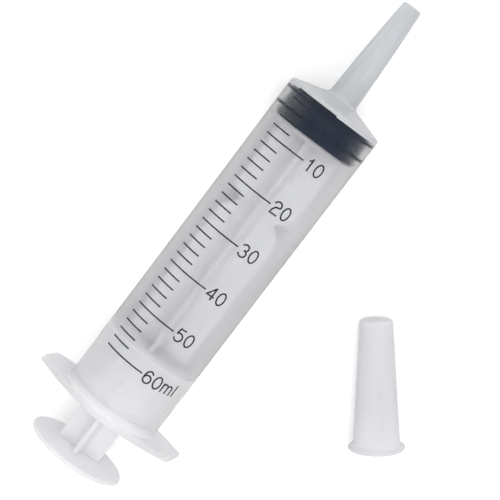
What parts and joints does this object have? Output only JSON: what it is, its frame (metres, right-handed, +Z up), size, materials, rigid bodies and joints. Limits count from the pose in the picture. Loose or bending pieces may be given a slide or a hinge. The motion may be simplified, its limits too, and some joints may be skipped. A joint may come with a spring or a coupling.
{
  "type": "syringe",
  "caption": "Large translucent syringe with a long tapered tip, finger flange, ribbed plunger with a dark rubber gasket, and a separate tip cap.",
  "frame": {"origin": "on the syringe's axis at the mouth of the tip", "axes": "+X along the axis, out of the tip; +Z up, square to the level surface that the syringe and its cap lie on, 16.4 mm below the axis"},
  "size_m": [0.1652, 0.1106, 0.0328],
  "materials": {
    "clear_plastic": "smooth translucent polypropylene",
    "white_plastic": "milky translucent polypropylene",
    "gasket_rubber": "smooth blue-black rubber",
    "cap_plastic": "milky translucent soft plastic"
  },
  "bodies": {
    "barrel": {"barrel": "clear_plastic"},
    "plunger": {"plunger_rod": "white_plastic", "gasket": "gasket_rubber"},
    "tip_cap": {"tip_cap": "cap_plastic"}
  },
  "joints": [
    {"name": "plunger_slide", "type": "slide", "parent": "barrel", "child": "plunger", "axis": [-1, 0, 0], "range_m": [0, 0.094]},
    {"name": "cap_lift", "type": "slide", "parent": "barrel", "child": "tip_cap", "axis": [0, 0, 1], "range_m": [0, 0.06]}
  ]
}
